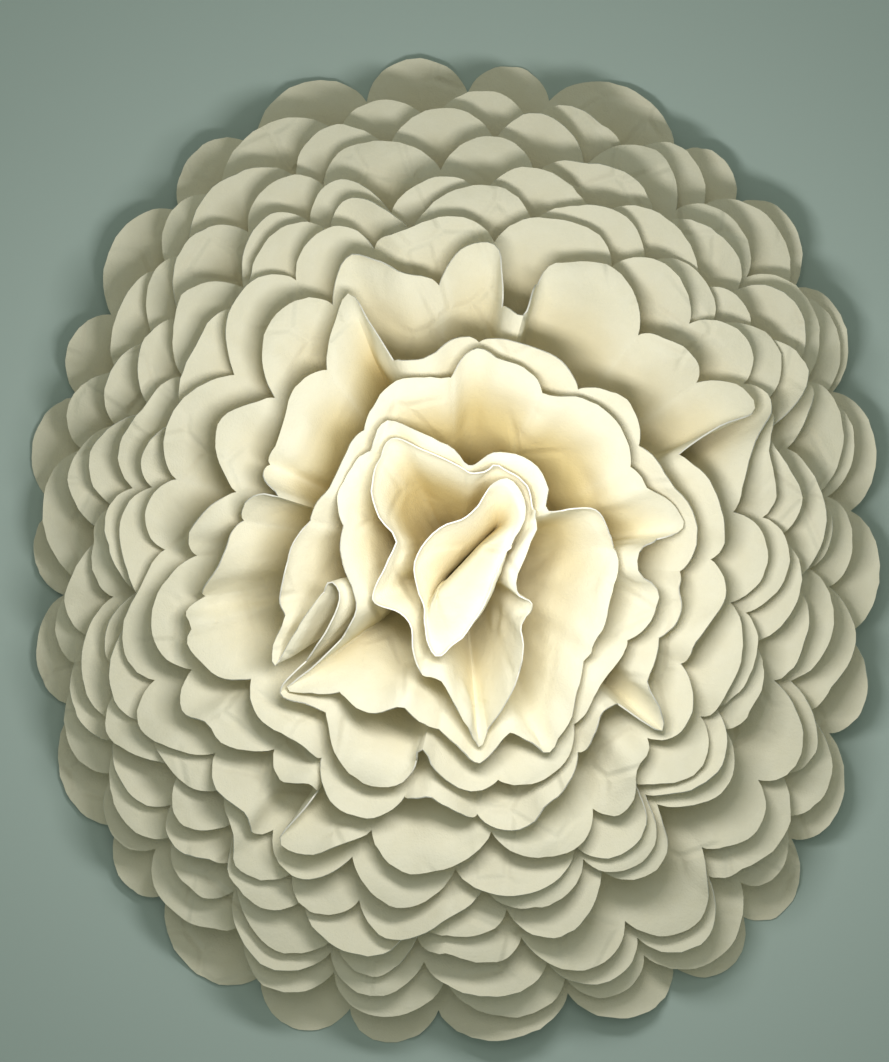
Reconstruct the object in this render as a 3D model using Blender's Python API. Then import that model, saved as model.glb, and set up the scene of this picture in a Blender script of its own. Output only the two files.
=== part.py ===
"""Giant paper flower: scalloped paper sheets, gathered and stacked on one split pin.

Metres, +Z up. The flower lies on its back, and the origin is on the table under the middle of its outline.
Each sheet is cut flat, with a pin hole and a rim of round lobes. It is then gathered: its rim follows a
closed line, drawn as it is seen from above, and all of those lines lie on one dome. The line of each sheet
runs outside the line of the sheet within it, so that no two sheets meet.
"""

import bisect
import math
import random

import bmesh
import bpy
from mathutils import Matrix, Vector
from mathutils.noise import noise

MM = 0.001

# Paper
PAPER_THICKNESS = 0.35 * MM
LOBE_PITCH = 27.0 * MM
LOBE_RISE = 8.5 * MM
LOBE_HALF_ARC = math.radians(68.0)
LOBE_STEPS = 5
LOBE_CURL = 1.6 * MM
LOBE_ROOT = 1.5 * MM
LOBE_ROOT_SHARE = 0.5
LOBE_STRAY = 0.18

# Lobe rises of the sheets whose drawn lines already follow their lobes
CRUMPLED_LOBES = {
    "heart_sheet_1": 1.5 * MM,
    "heart_sheet_2": 2.5 * MM,
    "heart_sheet_3": 3.5 * MM,
    "heart_sheet_4": 4.0 * MM,
    "inner_sheet_1": 6.0 * MM,
}

# Holes and hubs
PIN_HOLE_RADIUS = 2.0 * MM
HUB_RADIUS = 6.5 * MM

# Colours, linear
IVORY = (0.80, 0.74, 0.58)
BRASS = (0.72, 0.54, 0.26)

# How much smoother the sheets are near the hub than at their rims, as shares of a turn
FOLD_SMOOTHING = 0.025
HUB_SMOOTHING = 0.14

# How much each sheet arches up between its hub and its rim, so that it lies flatter near the rim
ARCHING = 0.5

# Stack on the pin
LOWEST_HUB = 1.2 * MM
SHEET_PITCH = 0.8 * MM
STEEP_PITCH = 2.0 * MM
LIFT_END = 30.0 * MM
STEEP_SHEETS = {
    "heart_sheet_1": (4.2 * MM, 12.0 * MM),
    "heart_sheet_2": (5.0 * MM, 15.0 * MM),
    "heart_sheet_3": (5.6 * MM, 18.0 * MM),
    "heart_sheet_4": (6.2 * MM, 22.0 * MM),
    "inner_sheet_1": (6.5 * MM, 25.0 * MM),
    "inner_sheet_2": (6.5 * MM, 28.0 * MM),
}

# Dome that the rims lie on, an oval seen from above, with a dip in its middle
DOME_LENGTH = 236.0 * MM
DOME_WIDTH = 206.0 * MM
DOME_HEIGHT = 67.0 * MM
DOME_POWER = 1.45
DOME_SQUARENESS = 2.3
RIM_FLOOR = 0.35 * MM
RIM_FLOOR_STEP = 2.5
DIP_DEPTH = 4.0 * MM
DIP_RADIUS = 16.0 * MM

# Slit that the heart closes to on its way up, as seen from above
SLIT_MIDDLE = (2.0 * MM, -2.5 * MM)
SLIT_ANGLE = math.radians(44.0)
SLIT_HALF_LENGTH = 14.0 * MM
SLIT_SQUEEZE = 0.83

# Split pin
PIN_WIDTH = 2.6 * MM
PIN_LEG_THICKNESS = 0.6 * MM
PIN_LEG_REACH = 16.0 * MM
PIN_BEND_RADIUS = 1.2 * MM
PIN_HEAD_RADIUS = 3.3 * MM
PIN_HEAD_HEIGHT = 1.6 * MM
GAP = 0.3 * MM
SHARP_ANGLE = math.radians(50.0)

# Rim lines of the inner sheets from the heart outwards, in millimetres as seen from above
DRAWN_LINES = {
    "heart_sheet_1": [
        (12.3, 4), (14.2, 8.5), (14, 13), (11, 17.3), (7.3, 16.5), (4, 12), (0.5, 8.7), (-4, 7),
        (-8, 3.5), (-10.8, -1.5), (-10.5, -7), (-9.3, -12), (-9.2, -17.5), (-8.2, -22), (-5.8, -25),
        (-2, -22.3), (2, -18), (5.5, -12.5), (8.5, -6), (10.5, -1),
    ],
    "heart_sheet_2": [
        (17, 7), (18, 13.5), (15, 20), (9, 23), (3, 20.5), (-1, 22), (-9, 25), (-16.5, 28), (-20.5, 22),
        (-21.5, 16), (-19.5, 9.5), (-16, 3.5), (-18, -2), (-21.5, -10.5), (-15, -13.5), (-12, -17),
        (-11.5, -23), (-9.5, -28.5), (-5, -29), (-2, -33.5), (1.5, -40), (4.5, -45.5), (7.5, -40.5),
        (10.5, -35.5), (13.5, -29), (15, -22), (14.5, -17), (16.5, -13.5), (16, -10.5), (12, -8),
        (11.5, -4), (14, 1.5),
    ],
    "heart_sheet_3": [
        (20, 10.5), (19.5, 15.5), (16, 21), (8, 24), (2, 21.5), (-2, 24.5), (-9, 27.5), (-17.5, 31),
        (-23.5, 24), (-26, 18), (-28.3, 13), (-28.8, 7), (-28.3, 1), (-26.5, -4.5), (-25, -8),
        (-24.5, -13), (-29, -20), (-34, -25.5), (-40, -30.5), (-34, -32.5), (-29, -34), (-24, -36.5),
        (-20, -37), (-14, -35.5), (-11, -38.5), (-7, -41.5), (-1, -45.5), (4, -49.5), (8.5, -46.5),
        (12.5, -43.5), (16, -44.5), (20, -46.5), (23, -42), (25.5, -38), (27, -33), (29, -28.5),
        (31, -24), (31.5, -20), (33.5, -16), (34.5, -10), (37, -4), (37.8, 1), (36, 6), (32.5, 11),
        (27, 11.5),
    ],
    "heart_sheet_4": [
        (42.5, 20.5), (40, 26), (37, 30.5), (33, 34), (28, 37), (22, 38.5), (18, 43), (13, 45.5),
        (9, 46.5), (5, 49), (1, 48), (-3, 43.5), (-9, 42), (-14, 41), (-18, 38.5), (-21, 35), (-25, 29.5),
        (-28, 22), (-31, 16), (-34, 13), (-37.5, 8), (-40.5, 3), (-42, -3), (-43.5, -8), (-44.5, -12),
        (-43.5, -17), (-44.5, -21), (-43.5, -26), (-40, -20.5), (-36.5, -14), (-32, -6.5), (-29, -9.5),
        (-31, -16), (-36, -23.5), (-43.5, -32.5), (-37, -36), (-32.5, -39.5), (-30, -45), (-26, -50),
        (-20, -53.5), (-14, -54), (-10.5, -50.5), (-9, -46), (-6.5, -49), (-2.5, -52.5), (3, -55.5),
        (9, -55.5), (15, -53.5), (21, -50.5), (26, -46), (28.5, -40), (30, -35), (32, -29.5), (36, -25.5),
        (41, -21), (44.5, -16), (46, -10), (45, -7), (42, -4.5), (41, -1.5), (43, 2), (47, 3.5), (52, 6),
        (50.5, 10), (46.5, 13.5), (43, 16),
    ],
    "inner_sheet_1": [
        (56, 0), (55.5, 6), (53, 12), (49, 17.5), (46.5, 24), (43, 30), (39, 35.5), (34, 39), (29, 42),
        (23, 46), (15, 49), (9, 51.5), (4, 53.5), (-2, 50.5), (-7, 46.5), (-12, 46), (-16, 48), (-21, 54),
        (-25.5, 60), (-30, 53), (-34.5, 45), (-38.5, 38), (-40, 32), (-43, 26), (-48, 23), (-47, 18.5),
        (-42.5, 14), (-46.5, 14.5), (-51, 13), (-55, 8), (-56, 2), (-58, -3.5), (-63, -8), (-66, -13),
        (-63, -17), (-63.5, -20), (-60, -25), (-57, -29), (-52, -31.5), (-49.5, -35), (-45, -39),
        (-39, -42.5), (-36, -46.5), (-34.5, -52), (-30, -57.5), (-24, -60.5), (-17, -61.5), (-11, -59),
        (-7, -57.5), (-2.5, -60.5), (4, -65), (11, -65.5), (17, -62.5), (20, -58.5), (23, -57), (27, -53),
        (30, -48), (31.5, -42), (33.5, -37), (37, -36), (41, -38), (47, -41.5), (47, -36), (44, -30),
        (47, -25), (50.5, -19), (52.5, -13), (52.5, -8), (55, -4),
    ],
    "inner_sheet_2": [
        (64, 0), (62, 6), (60, 12), (58, 18), (55, 25), (60, 30), (67, 33), (66, 39), (61, 44), (55, 48),
        (49, 52), (45, 57), (40, 62), (34, 66), (26, 68), (20.5, 70), (17.5, 64), (15, 57), (11.5, 60),
        (10.5, 66), (8.5, 72), (1, 72.5), (-6, 69), (-13, 66), (-19, 68), (-26, 70), (-32, 65), (-38, 60),
        (-44, 53), (-47, 45), (-48, 37), (-54, 31), (-56, 24), (-57, 17), (-61, 11), (-66, 4), (-69, -4),
        (-71, -12), (-71, -21), (-69, -29), (-65, -36), (-58, -38), (-55, -43), (-49, -48), (-43, -53),
        (-36, -54), (-36, -59), (-42, -66), (-35, -69), (-28, -68.5), (-21, -71), (-13, -73), (-5, -72),
        (4, -71), (13, -70), (21, -68.5), (29, -67), (36, -63), (39.5, -56), (41, -49), (47, -47),
        (52, -42), (55, -35), (56, -28), (55, -21), (58, -15), (62, -9),
    ],
    "inner_sheet_3": [
        (45, -56), (55, -50), (61, -42), (62, -33), (65, -24), (68, -14), (71, -4), (71, 7), (68, 17),
        (69, 27), (74, 36), (72, 46), (64, 55), (55, 62), (47, 69), (36, 75), (24, 77), (11, 80),
        (-2, 79), (-14, 76), (-26, 79), (-37, 74), (-47, 66), (-54, 56), (-58, 45), (-65, 36), (-70, 27),
        (-74, 16), (-76, 5), (-75, -6), (-78, -16), (-79, -28), (-76, -39), (-67, -46), (-59, -54),
        (-50, -60), (-49, -69), (-38, -76), (-26, -77), (-14, -81), (-1, -80), (12, -79), (25, -76),
        (37, -70), (44, -63),
    ],
}

# Round-lying outer sheets, inner to outer: how far each rim line has gone from the last drawn line to the
# outermost one, and how much the lines wave
OUTER_STEPS = [0.18, 0.34, 0.52, 0.68, 0.85, 1.0]
OUTER_REACH = 0.99
OUTER_WAVE = 5.0 * MM
OUTER_WAVE_COUNT = 1.7
BUNCHING = 3.2
BUNCH_COUNT = 2.1
LEAST_GAP = 0.09

# Where one outer sheet lies bare at the lower right: the other lines bunch up on its two sides
BARE_ANGLE = math.radians(-46.0)
BARE_WIDTH = math.radians(34.0)
BARE_GAPS = [0.02, 0.02, 0.66, 0.1, 0.08, 0.12]

# Pinched folds of the outer sheets: (sheet, angle in degrees, how far the paper is pinched inwards)
PINCH_WIDTH = math.radians(9.0)
PINCHES = [
    (1, 19, 4.5 * MM), (2, 155, 4.0 * MM), (3, 178, 4.5 * MM), (4, 72, 4.0 * MM), (1, 128, 4.0 * MM),
    (3, 312, 4.0 * MM), (4, 236, 4.0 * MM), (2, 268, 4.0 * MM), (4, 340, 4.0 * MM), (1, 215, 4.0 * MM),
]


def smooth_step(low, high, value):
    """0 below low, 1 above high, with a smooth rise between."""
    share = min(1.0, max(0.0, (value - low) / (high - low)))
    return share * share * (3 - 2 * share)


def oval_reach(angle):
    """How far the dome's foot is from the middle at this angle; the foot is a rather square oval."""
    across = abs(2 * math.cos(angle) / DOME_WIDTH) ** DOME_SQUARENESS
    along = abs(2 * math.sin(angle) / DOME_LENGTH) ** DOME_SQUARENESS
    return (across + along) ** (-1 / DOME_SQUARENESS)


def dome_height(point):
    """Height above the table of a rim point that is seen at this place from above."""
    share = min(1.0, point.length / oval_reach(math.atan2(point.y, point.x)))
    dip = DIP_DEPTH * math.exp(-((point.length / DIP_RADIUS) ** 2))
    return DOME_HEIGHT * (1 - share**DOME_POWER) ** (1 / DOME_POWER) - dip


def drawn_point(line, turn):
    """A point at this share of a turn of the closed smooth curve through the line's points."""
    place = (turn % 1.0) * len(line)
    k = int(place)
    t = place - k
    a, b, c, d = (Vector(line[(k + n) % len(line)]) for n in (-1, 0, 1, 2))
    bend = (2 * a - 5 * b + 4 * c - d) * t**2 + (3 * b - a - 3 * c + d) * t**3
    return MM / 2 * (2 * b + (c - a) * t + bend)


def outer_step(layer, angle):
    """How far an outer rim line has gone to the outermost one at this angle; the lines bunch and spread."""
    around = Vector((math.cos(angle), math.sin(angle), 0)) * BUNCH_COUNT
    gaps = []
    for k in range(len(OUTER_STEPS)):
        bare = max(0.0, 1 - abs((angle - BARE_ANGLE + math.pi) % (2 * math.pi) - math.pi) / BARE_WIDTH)
        bare = smooth_step(0.0, 0.5, bare)
        gap = OUTER_STEPS[k] - (OUTER_STEPS[k - 1] if k else 0)
        gap *= 2 ** (BUNCHING * noise(around + Vector((0, 0, 7.3 * k))))
        gaps.append(gap * (1 - bare) + BARE_GAPS[k] * bare)
    spare = 1 - LEAST_GAP * len(gaps)
    return LEAST_GAP * (layer + 1) + spare * sum(gaps[:layer + 1]) / sum(gaps)


def outer_point(layer, turn):
    """A point at this share of a turn of an outer sheet's rim line, which waves much like its neighbours."""
    inner = drawn_point(DRAWN_LINES["inner_sheet_3"], turn)
    angle = math.atan2(inner.y, inner.x)
    step = outer_step(layer, angle)
    around = Vector((math.cos(angle), math.sin(angle), 0)) * OUTER_WAVE_COUNT
    reach = inner.length + (oval_reach(angle) * OUTER_REACH - inner.length) * step
    reach += OUTER_WAVE * step * noise(around)
    for sheet, degrees, depth in PINCHES:
        off = (angle - math.radians(degrees) + math.pi) % (2 * math.pi) - math.pi
        if layer <= sheet and abs(off) < PINCH_WIDTH:
            follow = step / outer_step(sheet, angle)
            reach -= depth * follow * (1 - abs(off) / PINCH_WIDTH)
    return Vector((reach * math.cos(angle), reach * math.sin(angle)))


def smoothed(values, span):
    """The running mean of a closed list of values, taken twice."""
    count = len(values)
    for repeat in range(2):
        total = sum(values[1:span + 1], sum(values[-span:], values[0]))
        means = []
        for k in range(count):
            means.append(total / (2 * span + 1))
            total = total + values[(k + span + 1) % count] - values[(k - span) % count]
        values = means
    return values


class GatheredSheet:
    """One sheet of paper, and the way that it is gathered."""

    samples = 1440

    def __init__(self, name, rim_point, hub_height):
        self.name = name
        self.hub_height = hub_height
        self.hub_radius, self.lift_end = STEEP_SHEETS.get(name, (HUB_RADIUS, LIFT_END))
        self.slit = name == "heart_sheet_1"
        self.lobe_rise = CRUMPLED_LOBES.get(name, LOBE_RISE)
        floor = RIM_FLOOR + (hub_height - LOWEST_HUB) * RIM_FLOOR_STEP
        rims = []
        lengths = [0.0]
        for k in range(self.samples):
            point = rim_point(k / self.samples)
            rims.append(Vector((point.x, point.y, max(floor, dome_height(point)) - hub_height)))
            if k:
                lengths.append(lengths[-1] + (rims[k] - rims[k - 1]).length)
        lengths.append(lengths[-1] + (rims[0] - rims[-1]).length)
        self.lobes = round(lengths[-1] / LOBE_PITCH)
        self.reach = sum(rim.length for rim in rims) / self.samples
        self.slant = self.reach - self.lobe_rise * LOBE_ROOT_SHARE
        draw = random.Random(self.lobes * 100 + round(hub_height / MM * 10))
        lowest = 0 if hub_height == LOWEST_HUB else -1
        self.curls = [LOBE_CURL * draw.uniform(lowest, 1) for lobe in range(self.lobes)]
        self.valleys = [(lobe + LOBE_STRAY * draw.uniform(-1, 1)) / self.lobes for lobe in range(self.lobes)]
        self.set_rims(rims, lengths)

    def set_rims(self, rims, lengths):
        """Spaces the rim vectors evenly along the rim, and finds the smoother lines nearer to the hub."""
        self.rims = []
        near = 0
        for k in range(self.samples):
            wanted = lengths[-1] * k / self.samples
            while lengths[near + 1] < wanted:
                near += 1
            part = (wanted - lengths[near]) / (lengths[near + 1] - lengths[near])
            self.rims.append(rims[near].lerp(rims[(near + 1) % self.samples], part))
        self.bases = smoothed(self.rims, round(self.samples * FOLD_SMOOTHING))
        leads = []
        for k, rim in enumerate(self.rims):
            lead = math.atan2(rim.y, rim.x) - 2 * math.pi * k / self.samples
            leads.append(lead - 2 * math.pi * round((lead - (leads[-1] if leads else 0)) / (2 * math.pi)))
        self.leads = smoothed(leads, round(self.samples * HUB_SMOOTHING))

    def between(self, values, share):
        """The value at this share of a turn, from values that are evenly spaced around the sheet."""
        place = (share % 1.0) * self.samples
        k = int(place)
        return values[k] + (values[(k + 1) % self.samples] - values[k]) * (place - k)

    def place(self, share, distance):
        """Where a point of the flat sheet goes: at this share of a turn and this distance from the pin."""
        rim = self.between(self.rims, share)
        angle = self.between(self.leads, share) + 2 * math.pi * share
        base = self.between(self.bases, share) * (self.lift_end / self.reach)
        if distance < self.lift_end:
            lift = max(0.0, (distance - self.hub_radius) / (self.lift_end - self.hub_radius))
            hub_part = Vector((math.cos(angle), math.sin(angle), 0)) * min(distance, self.hub_radius)
            placed = hub_part.lerp(base, lift)
        else:
            raised = (distance - self.lift_end) / (self.reach - self.lift_end)
            placed = base + (rim - base) * raised
            placed.z += (rim.z - base.z) * ARCHING * raised * (1 - raised)
        inward = Vector((-rim.x * rim.z, -rim.y * rim.z, rim.x**2 + rim.y**2)).normalized()
        tip = max(0.0, (distance - self.slant + LOBE_ROOT) / (self.lobe_rise + LOBE_ROOT))
        lobe = bisect.bisect(self.valleys, share % 1.0) - 1
        placed = placed + inward * self.curls[lobe] * tip**2 + Vector((0, 0, self.hub_height))
        return self.squeeze(placed, distance) if self.slit else placed

    def squeeze(self, point, distance):
        """Draws the innermost sheet together towards a slit, most of all halfway up."""
        share = min(1.0, distance / self.slant)
        middle = Vector(SLIT_MIDDLE) * share
        along = Vector((math.cos(SLIT_ANGLE), math.sin(SLIT_ANGLE)))
        half = SLIT_HALF_LENGTH * share
        nearest = middle + along * min(half, max(-half, (point.xy - middle).dot(along)))
        near = smooth_step(0.15, 0.5, share) * (1 - smooth_step(0.55, 1.0, share))
        drawn = point.xy.lerp(nearest, SLIT_SQUEEZE * near)
        return Vector((drawn.x, drawn.y, point.z))


def lobe_outline(sheet, steps):
    """The flat sheet's scalloped rim, as (share of a turn, distance) for each point."""
    outline = []
    for start, end in zip(sheet.valleys, sheet.valleys[1:] + [sheet.valleys[0] + 1]):
        for step in range(steps):
            arc = LOBE_HALF_ARC * (2 * step / steps - 1)
            along = 0.5 + math.sin(arc) / (2 * math.sin(LOBE_HALF_ARC))
            out = (math.cos(arc) - math.cos(LOBE_HALF_ARC)) / (1 - math.cos(LOBE_HALF_ARC))
            rise = sheet.lobe_rise * min(1.0, (end - start) * sheet.lobes)
            outline.append((start + (end - start) * along, sheet.slant + rise * out))
    return outline


def flat_rings(sheet):
    """The rings of the flat sheet, from the pin hole outwards, each a list of (share, distance)."""
    crumpled = sheet.lobes < 16
    steep = sheet.lift_end < LIFT_END
    points = 8 if sheet.lobes < 6 else 5 if crumpled else 3 if steep else 2
    counts = {PIN_HOLE_RADIUS: 12, sheet.hub_radius: 12}
    for distance in (sheet.lift_end, sheet.slant - LOBE_ROOT):
        counts[distance] = sheet.lobes * points
    if crumpled:
        counts[(sheet.hub_radius + sheet.lift_end) / 2] = sheet.lobes * points
    if sheet.slit:
        counts[sheet.slant / 2] = sheet.lobes * points
    rings = []
    for distance, count in sorted(counts.items()):
        rings.append([(k / count, distance) for k in range(count)])
    rings.append(lobe_outline(sheet, max(points, LOBE_STEPS)))
    return rings


def add_object(name, bm):
    """Makes a named object of the mesh."""
    mesh = bpy.data.meshes.new(name)
    bm.to_mesh(mesh)
    bm.free()
    obj = bpy.data.objects.new(name, mesh)
    bpy.context.scene.collection.objects.link(obj)
    return obj


def finished(obj):
    """The object with its modifiers made part of its mesh, shaded smooth but for its sharp edges."""
    depsgraph = bpy.context.evaluated_depsgraph_get()
    mesh = bpy.data.meshes.new_from_object(obj.evaluated_get(depsgraph))
    obj.modifiers.clear()
    obj.data = mesh
    mesh.shade_smooth()
    mesh.set_sharp_from_angle(angle=SHARP_ANGLE)
    return obj


def build_sheet(sheet):
    """Cuts the sheet flat, gathers it and gives the paper its thickness."""
    bm = bmesh.new()
    shares = {}
    loops = []
    for ring in flat_rings(sheet):
        verts = []
        for share, distance in ring:
            angle = 2 * math.pi * share
            vert = bm.verts.new((math.cos(angle) * distance, math.sin(angle) * distance, 0))
            shares[vert] = (share, distance)
            verts.append(vert)
        loops.append([bm.edges.new((verts[k - 1], verts[k])) for k in range(len(verts))])
    for inner, outer in zip(loops, loops[1:]):
        bmesh.ops.triangle_fill(bm, use_beauty=True, edges=inner + outer, normal=(0, 0, 1))
    for vert, (share, distance) in shares.items():
        vert.co = sheet.place(share, distance)
    obj = add_object(sheet.name, bm)
    wall = obj.modifiers.new("paper", "SOLIDIFY")
    wall.thickness = PAPER_THICKNESS
    wall.offset = 0
    return finished(obj)


def build_pin(top_hub):
    """The split pin: two legs bent outwards under the flower, and a domed head in its heart."""
    bottom = []
    top = []
    for step in range(5):
        turn = math.pi / 2 * step / 4
        across = PIN_BEND_RADIUS * (1 - math.sin(turn))
        bottom.append((across, PIN_BEND_RADIUS * (1 - math.cos(turn))))
        bend = PIN_BEND_RADIUS - PIN_LEG_THICKNESS
        top.append((PIN_BEND_RADIUS - bend * math.sin(turn), PIN_BEND_RADIUS - bend * math.cos(turn)))
    seat = top_hub + PAPER_THICKNESS / 2 + GAP
    half = [(PIN_LEG_REACH, 0)] + bottom
    half_top = [(PIN_LEG_REACH, PIN_LEG_THICKNESS)] + top + [(PIN_LEG_THICKNESS, seat + PIN_HEAD_HEIGHT / 2)]
    profile = half + [(-x, z) for x, z in reversed(half[:-1])]
    profile += [(-x, z) for x, z in half_top] + list(reversed(half_top))
    bm = bmesh.new()
    verts = [bm.verts.new((x, -PIN_WIDTH / 2, z)) for x, z in profile]
    face = bm.faces.new(verts)
    side = bmesh.ops.extrude_face_region(bm, geom=[face])["geom"]
    moved = [item for item in side if isinstance(item, bmesh.types.BMVert)]
    bmesh.ops.translate(bm, verts=moved, vec=(0, PIN_WIDTH, 0))
    bmesh.ops.recalc_face_normals(bm, faces=bm.faces)
    pin = add_object("split_pin", bm)

    bm = bmesh.new()
    rise = [(PIN_HEAD_RADIUS, 0)]
    for step in range(1, 5):
        turn = math.pi / 2 * step / 4
        rise.append((PIN_HEAD_RADIUS * math.cos(turn), PIN_HEAD_HEIGHT * math.sin(turn)))
    line = [bm.verts.new((0, 0, seat))] + [bm.verts.new((x, 0, seat + z)) for x, z in rise[:-1]]
    line.append(bm.verts.new((0, 0, seat + PIN_HEAD_HEIGHT)))
    edges = [bm.edges.new(pair) for pair in zip(line, line[1:])]
    bmesh.ops.spin(
        bm, geom=line + edges, cent=(0, 0, 0), axis=(0, 0, 1), angle=2 * math.pi, steps=16, use_merge=True
    )
    bmesh.ops.remove_doubles(bm, verts=bm.verts, dist=0.00001)
    bmesh.ops.recalc_face_normals(bm, faces=bm.faces)
    head = add_object("pin_head_guide", bm)
    head.hide_render = True
    head.display_type = "WIRE"
    join = pin.modifiers.new("head", "BOOLEAN")
    join.operation = "UNION"
    join.object = head
    return finished(pin)


def all_sheets():
    """Every sheet from the heart outwards; the outermost lies lowest on the pin."""
    lines = []
    for name, line in DRAWN_LINES.items():
        lines.append((name, lambda turn, line=line: drawn_point(line, turn)))
    for layer in range(len(OUTER_STEPS)):
        lines.append((f"outer_sheet_{layer + 1}", lambda turn, layer=layer: outer_point(layer, turn)))
    sheets = []
    hub_height = LOWEST_HUB
    for name, rim_point in reversed(lines):
        sheets.append(GatheredSheet(name, rim_point, hub_height))
        hub_height += STEEP_PITCH if name in STEEP_SHEETS else SHEET_PITCH
    return sheets


def material(name, colour, roughness, metallic):
    """A plain material of one colour."""
    mat = bpy.data.materials.new(name)
    mat.use_nodes = True
    shader = mat.node_tree.nodes["Principled BSDF"]
    shader.inputs["Base Color"].default_value = (*colour, 1)
    shader.inputs["Roughness"].default_value = roughness
    shader.inputs["Metallic"].default_value = metallic
    return mat


def centre(objects):
    """Moves the flower sideways until the middle of its outline is over the origin."""
    points = [vert.co for obj in objects for vert in obj.data.vertices]
    across = [point.x for point in points]
    along = [point.y for point in points]
    middle = Vector((min(across) + max(across), min(along) + max(along), 0)) / 2
    for obj in objects:
        obj.data.transform(Matrix.Translation(-middle))


def main():
    for obj in list(bpy.data.objects):
        bpy.data.objects.remove(obj)
    sheets = all_sheets()
    objects = []
    for sheet in sheets:
        obj = build_sheet(sheet)
        obj.data.materials.append(material(sheet.name, IVORY, 0.85, 0.0))
        objects.append(obj)
    pin = build_pin(sheets[-1].hub_height)
    pin.data.materials.append(material("brass", BRASS, 0.35, 1.0))
    centre(objects + [pin])


main()
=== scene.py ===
"""The looks of the giant paper flower: every sheet again, finer, with its curls, creases and paper."""

import math
import random

import bmesh
import bpy
import numpy as np
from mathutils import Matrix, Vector, noise


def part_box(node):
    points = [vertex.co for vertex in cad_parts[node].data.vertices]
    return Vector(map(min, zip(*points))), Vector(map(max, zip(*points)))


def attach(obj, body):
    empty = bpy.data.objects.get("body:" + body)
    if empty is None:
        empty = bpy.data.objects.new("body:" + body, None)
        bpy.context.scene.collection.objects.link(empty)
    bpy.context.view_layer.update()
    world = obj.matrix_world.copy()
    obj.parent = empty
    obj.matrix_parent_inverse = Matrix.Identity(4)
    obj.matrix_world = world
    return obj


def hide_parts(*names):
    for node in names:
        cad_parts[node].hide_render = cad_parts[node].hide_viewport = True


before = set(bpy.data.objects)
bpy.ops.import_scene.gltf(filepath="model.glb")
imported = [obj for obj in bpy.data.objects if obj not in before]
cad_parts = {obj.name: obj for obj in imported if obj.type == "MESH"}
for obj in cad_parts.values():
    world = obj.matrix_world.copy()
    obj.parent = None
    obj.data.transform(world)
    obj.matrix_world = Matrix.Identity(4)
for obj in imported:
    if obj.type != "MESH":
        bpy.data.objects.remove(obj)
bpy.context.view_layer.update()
MM = 0.001

# Paper
PAPER_THICKNESS = 0.35 * MM
LOBE_PITCH = 27.0 * MM
LOBE_RISE = 8.5 * MM
LOBE_HALF_ARC = math.radians(68.0)
LOBE_CURL = 1.6 * MM
LOBE_ROOT = 1.5 * MM
LOBE_ROOT_SHARE = 0.5
LOBE_STRAY = 0.18

# Lobe rises of the sheets whose drawn lines already follow their lobes
CRUMPLED_LOBES = {
    "heart_sheet_1": 1.5 * MM,
    "heart_sheet_2": 2.5 * MM,
    "heart_sheet_3": 3.5 * MM,
    "heart_sheet_4": 4.0 * MM,
    "inner_sheet_1": 6.0 * MM,
}

# Holes and hubs
PIN_HOLE_RADIUS = 2.0 * MM
HUB_RADIUS = 6.5 * MM

# How fine each sheet is: columns in each lobe, and rows from the pin hole to the rim
LOBE_COLUMNS = 20
SHEET_ROWS = 40
ROW_SPREAD = 1.25
MERGE_DISTANCE = 0.001 * MM
SAMPLES = 2880

# How much smoother the sheets are near the hub than at their rims, as shares of a turn
FOLD_SMOOTHING = 0.025
HUB_SMOOTHING = 0.14

# How much each sheet arches up between its hub and its rim, so that it lies flatter near the rim
ARCHING = 0.5

# Stack on the pin
LOWEST_HUB = 1.2 * MM
SHEET_PITCH = 0.8 * MM
STEEP_PITCH = 2.0 * MM
LIFT_END = 30.0 * MM
STEEP_SHEETS = {
    "heart_sheet_1": (4.2 * MM, 12.0 * MM),
    "heart_sheet_2": (5.0 * MM, 15.0 * MM),
    "heart_sheet_3": (5.6 * MM, 18.0 * MM),
    "heart_sheet_4": (6.2 * MM, 22.0 * MM),
    "inner_sheet_1": (6.5 * MM, 25.0 * MM),
    "inner_sheet_2": (6.5 * MM, 28.0 * MM),
}

# Dome that the rims lie on, an oval seen from above, with a dip in its middle
DOME_LENGTH = 236.0 * MM
DOME_WIDTH = 206.0 * MM
DOME_HEIGHT = 67.0 * MM
DOME_POWER = 1.45
DOME_SQUARENESS = 2.3
RIM_FLOOR = 0.35 * MM
RIM_FLOOR_STEP = 2.5
DIP_DEPTH = 4.0 * MM
DIP_RADIUS = 16.0 * MM

# Slit that the heart closes to on its way up, as seen from above
SLIT_MIDDLE = (2.5 * MM, -1.0 * MM)
SLIT_ANGLE = math.radians(45.0)
SLIT_HALF_LENGTH = 17.0 * MM
SLIT_SQUEEZE = 0.92
SLIT_START = (0.15, 0.5)
SLIT_END = (0.55, 1.0)

# Fold on the lower side of the slit, where the innermost sheet turns over and runs out flat to its rim
CREST_LIFT = 15.0 * MM
CREST_WIDTH = 3.0 * MM

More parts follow.
